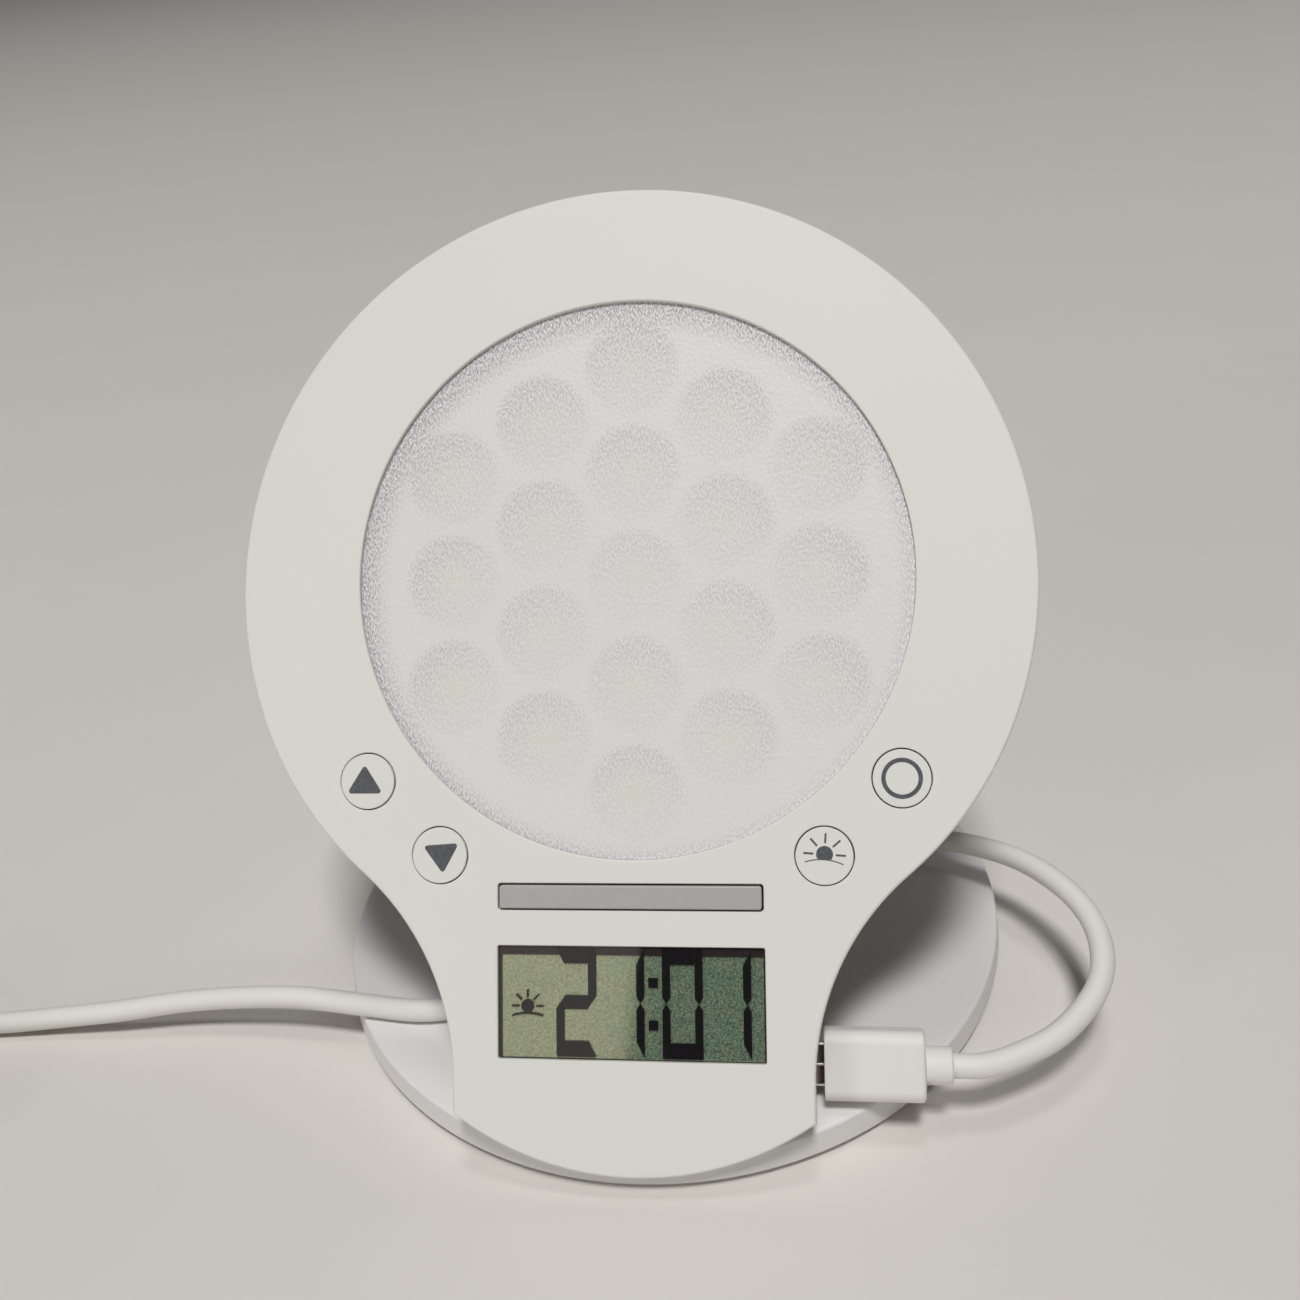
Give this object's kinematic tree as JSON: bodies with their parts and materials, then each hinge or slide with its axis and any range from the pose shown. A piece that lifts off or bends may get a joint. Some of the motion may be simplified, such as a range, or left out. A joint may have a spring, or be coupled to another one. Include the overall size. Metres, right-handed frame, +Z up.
{
  "type": "wake-up light",
  "caption": "Round wake-up lamp with a frosted light panel, clock display and keys, leaning on a round base by a friction hinge, with a plug-in power lead.",
  "frame": {"origin": "centre of the foot pad's underside, on the surface that the lamp stands on", "axes": "+Z up, the front panel faces -Y and leans back towards +Y, +X is to the right seen from the front; the hinge turns about X"},
  "size_m": [0.2628, 0.1977, 0.1326],
  "materials": {
    "white_panel": "warm white, fine matt moulded",
    "white_shell": "white, satin moulded",
    "key_white": "warm white, satin moulded",
    "bar_grey": "mid grey, satin moulded",
    "grey_plastic": "light grey, matt moulded",
    "dark_plastic": "black, matt moulded",
    "diffuser": "frosted clear, pebbled",
    "reflector_white": "white, glossy moulded",
    "board_white": "white solder mask on aluminium",
    "board_green": "green solder mask",
    "led_yellow": "yellow phosphor",
    "ribbon": "pale flat ribbon",
    "display": "grey-green reflective display",
    "strip_rubber": "pink contact strip",
    "steel": "nickel plated",
    "pad_rubber": "matt foam rubber",
    "cord_white": "white soft vinyl",
    "tie_dark": "black hook and loop tape"
  },
  "bodies": {
    "base": {"base_cover": "white_shell", "base_floor": "grey_plastic", "weight_plate": "steel", "foot_pad": "pad_rubber", "base_screws": "steel", "hinge_block": "grey_plastic", "block_screws": "steel", "hinge_pin": "steel", "pin_clip": "steel", "friction_washers": "steel", "cord_lead": "cord_white", "cord_coil": "cord_white", "cord_tie": "tie_dark", "usb_a_relief": "cord_white", "usb_a_grip": "cord_white", "usb_a_shell": "steel", "usb_a_tongue": "dark_plastic"},
    "head": {"front_panel": "white_panel", "rear_shell": "white_shell", "shell_screws": "steel", "diffuser": "diffuser", "reflector": "reflector_white", "led_board": "board_white", "leds": "led_yellow", "led_ribbon": "ribbon", "control_board": "board_green", "board_screws": "steel", "tact_switches": "dark_plastic", "lcd_glass": "display", "lcd_frame": "dark_plastic", "lcd_strips": "strip_rubber", "buzzer": "dark_plastic", "backup_cell": "steel", "usb_socket": "steel", "hinge_leaf": "grey_plastic", "leaf_screws": "steel", "plug_shell": "steel", "plug_grip": "cord_white", "plug_collar": "cord_white"},
    "key_up": {"key_up": "key_white"},
    "key_down": {"key_down": "key_white"},
    "key_sunrise": {"key_sunrise": "key_white"},
    "key_ring": {"key_ring": "key_white"},
    "snooze_bar": {"snooze_bar": "bar_grey"}
  },
  "joints": [
    {"name": "head_tilt", "type": "hinge", "parent": "base", "child": "head", "pos_m": [0, -0.03113, 0.0147], "axis": [-1, 0, 0], "range_deg": [0, 30], "deforming": ["cord_lead"]},
    {"name": "key_up_press", "type": "slide", "parent": "head", "child": "key_up", "axis": [0, 0.829, -0.5592], "range_m": [0, 0.0005], "stiffness_N_per_m": 1500},
    {"name": "key_down_press", "type": "slide", "parent": "head", "child": "key_down", "axis": [0, 0.829, -0.5592], "range_m": [0, 0.0005], "stiffness_N_per_m": 1500},
    {"name": "key_sunrise_press", "type": "slide", "parent": "head", "child": "key_sunrise", "axis": [0, 0.829, -0.5592], "range_m": [0, 0.0005], "stiffness_N_per_m": 1500},
    {"name": "key_ring_press", "type": "slide", "parent": "head", "child": "key_ring", "axis": [0, 0.829, -0.5592], "range_m": [0, 0.0005], "stiffness_N_per_m": 1500},
    {"name": "snooze_bar_press", "type": "slide", "parent": "head", "child": "snooze_bar", "axis": [0, 0.829, -0.5592], "range_m": [0, 0.0005], "stiffness_N_per_m": 2000}
  ]
}
